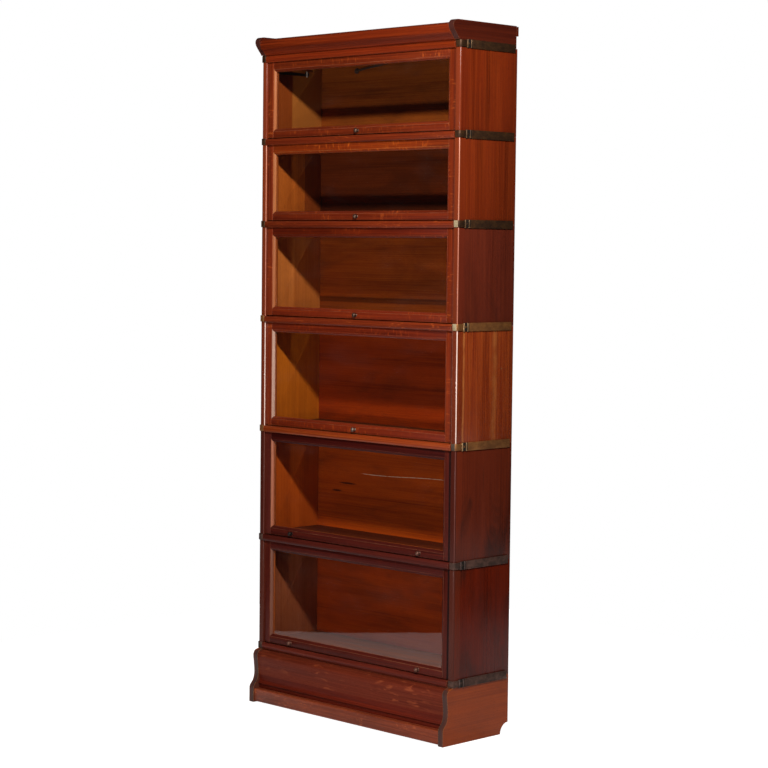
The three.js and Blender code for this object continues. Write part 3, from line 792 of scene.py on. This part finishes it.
def pin_groove(at, sign):
    """The groove in a side board that the rod's end rides in, with the slot by which it drops in."""
    radius = at.pin_radius + FIT
    track = arc((at.pin.y, at.pin.z), radius, 90, 270)
    track += arc((at.pin_parked, at.pin.z), radius, 270, 360, ROUND_STEPS // 2)
    track += [(at.pin_parked + radius, at.top + MM), (at.pin_parked - radius, at.top + MM)]
    track.append((at.pin_parked - radius, at.pin.z + radius))
    return sweep(track, "x", sign * (at.inner - MM), sign * at.groove_floor)


def side_board(at, hand):
    """One side of a section: grain upright, outside stained, inside and groove lighter behind the door."""
    sign = HANDS[hand]
    inner, outer = at.inner, at.half
    plan = [(inner, at.front + INNER_ROUND)]
    plan += arc((inner + INNER_ROUND, at.front + INNER_ROUND), INNER_ROUND, 180, 270, 4)[1:]
    plan += arc((outer - OUTER_ROUND, at.front + OUTER_ROUND), OUTER_ROUND, 270, 360)
    plan += [
        (outer, at.rear), (inner + RABBET, at.rear), (inner + RABBET, at.panel - FIT),
        (inner, at.panel - FIT), (inner, at.door_high.y),
    ]
    shell = carved(sweep([(sign * x, y) for x, y in plan], "z", at.bottom, at.top), pin_groove(at, sign))
    reach = at.pin_radius + MM

    def is_inside(normal, centre):
        if abs(centre.x) < inner + MM and normal.x * sign < -0.9:
            return centre.y > at.door_high.y
        along = at.pin.y - reach < centre.y < at.pin_parked + reach
        return along and abs(centre.x) < at.groove_floor + FIT and centre.z > at.pin.z - reach

    make(
        f"side_board_{hand}_{at.number}", [shell], [side_woods[at.number], inner_woods[at.number]], "stack",
        [f"case_{at.number}"], arris=0.4 * MM, finish_of=is_inside,
    )


def front_rail(at):
    """Moulded rail under the door, which laps over the top of the door below."""
    lip, joint = at.front + RAIL_LIP, at.bottom
    glued = at.door_high.y + SHELF_BEHIND_DOOR + RAIL_LAP
    face = at.front + RAIL_FLAT
    middle, half_rise = joint + (RAIL_RISE - RAIL_DROP) / 2, (RAIL_RISE + RAIL_DROP) / 2
    profile = [(glued, joint + RAIL_RISE)]
    profile += arc((face, middle), (RAIL_BULGE + RAIL_FLAT, half_rise), 90, 270, RAIL_STEPS)
    profile += [(lip, joint - RAIL_DROP), (lip, joint), (glued, joint)]
    half = at.inner - FIT
    make(
        f"front_rail_{at.number}", [sweep(profile, "x", -half, half)], [rail_woods[at.number]], "stack",
        [f"case_{at.number}"], arris=0.5 * MM,
    )


def shelf(at):
    """Bottom board of a section, behind the door."""
    front = at.door_high.y + SHELF_BEHIND_DOOR
    low = (-at.inner, front, at.bottom)
    high = (at.inner, at.panel - FIT, at.bottom + SHELF_THICKNESS)
    make(f"bottom_board_{at.number}", [block(low, high, "x")], [shelf_woods[at.number]], "stack",
         [f"case_{at.number}"])


def bead_profile(sign):
    """Moulded inner edge of a door member: (distance out from the sight edge, depth from the face)."""
    reach, fall = BEAD_WIDTH - BEAD_QUIRK, BEAD_DEPTH - BEAD_LAND
    curve = [
        (reach * (1 - math.cos(turn)), fall - (fall - BEAD_QUIRK) * math.sin(turn))
        for turn in (math.pi / 2 * step / BEAD_STEPS for step in range(BEAD_STEPS + 1))
    ]
    points = [(0.0, BEAD_DEPTH), *curve, (BEAD_WIDTH, BEAD_QUIRK), (BEAD_WIDTH, BEAD_DEPTH)]
    return [(sign * out, depth) for out, depth in points]


def mitres(half, sight):
    """Both ends of a level member that is mitred outwards from its sight edge."""
    return lambda y, z: -half - abs(z - sight), lambda y, z: half + abs(z - sight)


def upright_mitres(at):
    """Both ends of an upright member that is mitred outwards from its sight edge."""
    low, high, sight = at.sight_low, at.sight_high, at.sight_half
    return lambda x, y: low - (abs(x) - sight), lambda x, y: high + (abs(x) - sight)


def stile(at, hand):
    """Upright of a door with its share of the moulding, mitred at both ends."""
    sign, sight = HANDS[hand], at.sight_half
    face, back = at.door_low.y, at.door_high.y
    step = face + BEAD_DEPTH
    inner, lap, end = (
        sign * x for x in (sight + BEAD_WIDTH, sight + GLAZING_LAP + FIT, at.door_high.x)
    )
    body = [(inner, face), (end, face), (end, back), (lap, back), (lap, step), (inner, step)]
    bead = [(sign * sight + out, face + depth) for out, depth in bead_profile(sign)]
    shells = [
        sweep(body, "z", at.door_low.z, at.door_high.z), sweep(bead, "z", *upright_mitres(at)),
    ]
    make(
        f"door_stile_{hand}_{at.number}", shells, [front_woods["stile", at.number], bead_highlight_woods[at.number]],
        f"door_{at.number}", [f"door_frame_{at.number}"],
        # Only the left stile's bead takes the bead finish, a painted highlight where it faces the lamps
        finish_of=lambda normal, centre: (
            hand == "left" and abs(centre.x) < sight + BEAD_WIDTH - FIT and centre.y < step - FIT
        ),
    )


def door_rail(at, place):
    """Top or bottom rail of a door, between the stiles."""
    sign = 1 if place == "top" else -1
    sight = at.sight_high if sign > 0 else at.sight_low
    edge = at.door_high.z if sign > 0 else at.door_low.z
    face, back = at.door_low.y, at.door_high.y
    inner, lap = sight + sign * BEAD_WIDTH, sight + sign * (GLAZING_LAP + FIT)
    body = [
        (face, inner), (face, edge), (back, edge), (back, lap), (face + BEAD_DEPTH, lap),
        (face + BEAD_DEPTH, inner),
    ]
    bead = [(face + depth, sight + out) for out, depth in bead_profile(sign)]
    half = at.sight_half + BEAD_WIDTH
    shells = [sweep(body, "x", -half, half), sweep(bead, "x", *mitres(at.sight_half, sight))]
    make(f"door_rail_{place}_{at.number}", shells, [front_woods[place, at.number]], f"door_{at.number}",
         [f"door_frame_{at.number}"])


def glazing_strips(at):
    """Mitred strips that hold the glass in its rebate, seen from behind."""
    front, back = at.pane_high.y + FIT, at.door_high.y - MM
    waist, shoulder = front + (back - front) * STRIP_WAIST, GLAZING_LAP * STRIP_SHOULDER
    section = [(0.0, front), (0.0, waist), (shoulder, back), (GLAZING_LAP, back), (GLAZING_LAP, front)]
    half, low, high = at.sight_half, at.sight_low, at.sight_high
    shells = []
    for sign in (-1, 1):
        plan = [(sign * (half + out), y) for out, y in section]
        shells.append(sweep(plan, "z", *upright_mitres(at)))
        sight = high if sign > 0 else low
        plan = [(y, sight + sign * out) for out, y in section]
        shells.append(sweep(plan, "x", *mitres(half, sight)))
    make(f"glazing_strips_{at.number}", shells, [strip_wood], f"door_{at.number}",
         arris=0.3 * MM)


def knob(node, body):
    """Turned knob with a flange, a waist and a small button on its end."""
    low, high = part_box(node)
    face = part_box(f"door_frame_{body[-1]}")[0].y
    centre = ((low.x + high.x) / 2, face, (low.z + high.z) / 2)
    metal = brasses[KNOB_METALS.get(node, "knob_brass")]
    make(node.replace("knob", "turned_knob"), [turned(scaled(KNOB_OUTLINE, -1), centre, "y")], [metal],
         body, [node], arris=None)


def band(joint, hand, at):
    """Cast band that ties two sections: plate on the side, neck with two ribs, tab round the front edge."""
    sign = HANDS[hand]
    low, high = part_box(f"band_{hand}_{joint}")
    level = (low.z + high.z) / 2
    inner = at.half + FIT
    outer = inner + BAND_THICKNESS
    skin = at.front - FIT
    front = skin - BAND_THICKNESS
    corner = (at.half - OUTER_ROUND, at.front + OUTER_ROUND)
    tab, neck_rear = at.half - BAND_TAB_REACH, at.front + BAND_BLOCK + MM
    plan = [(tab, skin), (tab, front + MM), (tab + MM, front)]
    plan += arc(corner, OUTER_ROUND + FIT + BAND_THICKNESS, 270, 360)
    plan += [(outer, neck_rear), (inner, neck_rear)]
    plan += arc(corner, OUTER_ROUND + FIT, 360, 270)
    shells = [sweep([(sign * x, y) for x, y in plan], "z", level - BAND_NECK_HALF, level + BAND_NECK_HALF)]
    floor = inner + BAND_FLOOR
    recess = (at.front + BAND_BLOCK, at.front + BAND_PLATE_FRONT + MM)
    for span, skin_x in ((recess, floor), ((at.front + BAND_PLATE_FRONT, high.y), outer)):
        plate = rectangle((sign * inner, sign * skin_x), span)
        shells.append(sweep(plate, "z", level - BAND_PLATE_HALF, level + BAND_PLATE_HALF))
    head = (sign * floor, at.front + sum(BAND_RIBS) / 2, level)
    shells.append(turned(scaled(SCREW_OUTLINE, sign), head, "x"))
    for place in BAND_RIBS:
        rib = [(floor - FIT, at.front + place - BAND_RIB_RADIUS)]
        rib += arc((outer - FIT, at.front + place), BAND_RIB_RADIUS, -90, 90, ROUND_STEPS)
        rib.append((floor - FIT, at.front + place + BAND_RIB_RADIUS))
        shells.append(sweep(
            [(sign * x, y) for x, y in rib], "z", level - BAND_RIB_HALF, level + BAND_RIB_HALF,
        ))
    rib_zones = [at.front + place for place in BAND_RIBS]

    def finish_of(normal, centre):
        on_rib = any(abs(centre.y - zone) < BAND_RIB_RADIUS for zone in rib_zones)
        if on_rib and abs(centre.x) > outer - FIT:
            return 1
        # Front face of the tab; on the right at joints 2 to 4 it takes a painted highlight
        if normal.y < -0.9 and centre.y < at.front:
            return 2
        between = rib_zones[0] < centre.y < rib_zones[1]
        return 3 if between and inner < abs(centre.x) < outer - MM / 2 else 0

    metal = BAND_METALS[joint]
    names = (metal, RIB_METALS[joint], TAB_HIGHLIGHT_METALS.get((hand, joint), metal), "recess_black_brass")
    make(
        f"cast_band_{hand}_{joint}", shells, [brasses[name] for name in names], "stack",
        [f"band_{hand}_{joint}"], arris=0.6 * MM,
        finish_of=finish_of,
    )


def equaliser(at):
    """Steel tracks at the top of section 1's sides, and the arm folded flat against its back."""
    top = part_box("case_1")[1].z

    def plate(run, drop):
        plan = rectangle((skin, face), [at.front + reach for reach in run])
        return sweep(plan, "z", *(top - fall for fall in drop))

    for hand, sign in HANDS.items():
        skin, face = sign * at.inner, sign * (at.inner - TRACK_THICKNESS)
        hub = (skin, at.front + HUB_RUN, top - HUB_DROP)
        for part, shell, metal, arris in (
            ("track", plate(TRACK_RUN, TRACK_DROP), track_steel, 0.2 * MM),
            ("boss", turned(scaled(HUB_OUTLINE, -sign), hub, "x"), track_steel, None),
            ("clip", plate(CLIP_RUN, CLIP_DROP), clip_steel, 0.2 * MM),
        ):
            make(f"equaliser_{part}_{hand}", [shell], [metal], "stack", arris=arris)
    pivot = Vector((ARM_PIVOT, at.panel, top - ARM_PIVOT_DROP))
    run = Vector((ARM_END - pivot.x, 0, top - ARM_END_DROP - pivot.z))
    across = run.cross(Vector((0, 1, 0))).normalized() * ARM_HALF
    corners = [pivot + across, pivot - across, pivot + run - across, pivot + run + across]
    arm = sweep([(c.x, c.z) for c in corners], "y", *(at.panel - gap for gap in ARM_GAPS))
    make("equaliser_arm", [turned(scaled(PIVOT_OUTLINE, -1), pivot, "y"), arm], [arm_steel], "stack",
         arris=0.3 * MM)


def glue_blocks():
    """Triangular blocks glued into the plinth's four corners."""
    front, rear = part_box("plinth_front")[1].y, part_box("plinth_back_rail")[0].y
    for place, edge, way in (("front", front, 1), ("rear", rear, -1)):
        for hand, sign in HANDS.items():
            plan = [
                (sign * base_inner, edge), (sign * (base_inner - GLUE_BLOCK), edge),
                (sign * base_inner, edge + way * GLUE_BLOCK),
            ]
            make(f"glue_block_{place}_{hand}", [sweep(plan, "z", *GLUE_BLOCK_RISE)], [bare_wood], "stack",
                 arris=0.5 * MM)


def plinth_front():
    """Fascia with a hollow and a thin bead at its foot, behind a separate toe board."""
    low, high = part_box("plinth_front")
    front, door_face = case_front, case_front + SIDE_PROUD
    reach, crown = front - low.y, high.z - RAIL_DROP - FASCIA_GAP
    fascia = [(high.y, low.z + MM), (high.y, high.z), (door_face, high.z), (door_face, crown)]
    curve = [(front - reach * out, crown * up) for out, up in FASCIA_SHARES]
    fascia += rounded_line([(front, crown), *curve])
    foot = front - reach * FASCIA_FOOT
    fascia += [(foot, crown * FASCIA_SHARES[-1][1] - MM), (foot, low.z + MM)]
    toe = [(foot - FIT, low.z), (foot - FIT, TOE_TOP), (low.y + 2 * MM, TOE_TOP)]
    toe += [(low.y, TOE_TOP - 2 * MM), (low.y, low.z)]
    hollow = crown * HOLLOW_SHARE
    make(
        "plinth_fascia", [sweep(fascia, "x", low.x, high.x)], [base_front, base_hollow], "stack",
        ["plinth_front"], arris=0.4 * MM,
        finish_of=lambda normal, centre: centre.z < hollow and centre.y < front,
    )
    make("plinth_toe_board", [sweep(toe, "x", low.x, high.x)], [toe_wood], "stack", ["plinth_front"],
         arris=0.8 * MM)


def build_section(number):
    at = Section(number)
    for hand in HANDS:
        side_board(at, hand)
        stile(at, hand)
    for place in ("top", "bottom"):
        door_rail(at, place)
    front_rail(at)
    shelf(at)
    glazing_strips(at)
    dress(f"back_panel_{number}", panel_woods[number])
    dress(f"door_glass_{number}", glass, None)
    dress(f"hinge_rod_{number}", pin_steel, None)
    return at


def build():
    places = {number: build_section(number) for number in SECTIONS}
    for joint in JOINTS:
        for hand in HANDS:
            band(joint, hand, places[1])
    for node in frame["nodes"]:
        if node.startswith("knob_"):
            knob(node, f"door_{node.split('_')[1]}")
    for hand in HANDS:
        dress(f"cornice_side_{hand}", crown_side)
        dress(f"plinth_side_{hand}", base_side)
    dress("cornice_front", crown_front)
    dress("cornice_top", crown_top)
    plinth_front()
    dress("plinth_back_rail", base_rear)
    equaliser(places[1])
    glue_blocks()


def build_floor():
    """A pale floor that shows white to the camera; its glow leaves next to nothing of the shadow."""
    made, g = material("floor_white")
    lit = g.node("BsdfDiffuse", {"Color": (FLOOR_ALBEDO,) * 3 + (1.0,)})
    shade = g.node("BsdfDiffuse", {"Color": (FLOOR_SHADE,) * 3 + (1.0,)})
    glow = g.node("Emission", {"Color": (1, 1, 1, 1), "Strength": FLOOR_SHOWN})
    shown = g.node("AddShader", {0: shade.outputs[0], 1: glow.outputs[0]})
    seen = g.node("LightPath").outputs["Is Camera Ray"]
    g.finish(g.node("MixShader", {0: seen, 1: lit.outputs[0], 2: shown.outputs[0]}))
    mesh = bpy.data.meshes.new("floor")
    mesh.from_pydata([(x, y, 0) for x, y in FLOOR_OUTLINE], [], [range(len(FLOOR_OUTLINE))])
    mesh.materials.append(made)
    floor = placed("floor", mesh)


def build_world():
    """White to the camera and through glass, dim to varnish and metal as the room is, soft fill otherwise."""
    world = bpy.data.worlds.new("studio")
    world.use_nodes = True
    bpy.context.scene.world = world
    g = Graph(world.node_tree)
    path = g.node("LightPath").outputs
    straight = g.math("MAXIMUM", path["Is Camera Ray"], path["Is Transmission Ray"])
    strength = g.math("MULTIPLY_ADD", straight, 1 - WORLD_FILL, WORLD_FILL)
    glossy = g.times(path["Is Glossy Ray"], WORLD_GLOSS - WORLD_FILL)
    strength = g.math("ADD", strength, glossy)
    sky = g.node("Background", {"Color": (1, 1, 1, 1), "Strength": strength})
    g.finish(sky, "ShaderNodeOutputWorld")


def add_lamp(name, place, size, power, glints):
    """A round lamp aimed at the object; without glints, varnish and metal don't mirror it."""
    lamp = bpy.data.lights.new(name, "AREA")
    lamp.energy = power
    lamp.shape, lamp.size = "DISK", size
    holder = placed(name, lamp)
    holder.location = place
    holder.rotation_euler = (Vector(LAMP_AIM) - Vector(place)).to_track_quat("-Z", "Y").to_euler()
    holder.visible_glossy = glints


def add_camera():
    """The photograph's camera."""
    yaw, pitch, roll = (math.radians(turn) for turn in (CAMERA_YAW, CAMERA_PITCH, CAMERA_ROLL))
    ahead = Vector((-math.sin(yaw) * math.cos(pitch), math.cos(yaw) * math.cos(pitch), -math.sin(pitch)))
    level = Vector((math.cos(yaw), math.sin(yaw), 0))
    upright = level.cross(ahead)
    right = math.cos(roll) * level + math.sin(roll) * upright
    up = math.cos(roll) * upright - math.sin(roll) * level
    lens = bpy.data.cameras.new("camera")
    lens.lens, lens.sensor_width = CAMERA_LENS, CAMERA_SENSOR
    camera = placed("camera", lens)
    turn = Matrix((right, up, -ahead)).transposed().to_4x4()
    camera.matrix_world = Matrix.Translation(CAMERA_PLACE) @ turn
    bpy.context.scene.camera = camera


build()
build_floor()
build_world()
for name, lamp in LAMPS.items():
    add_lamp(name, *lamp)
add_camera()
bpy.context.scene.view_settings.view_transform = "Standard"
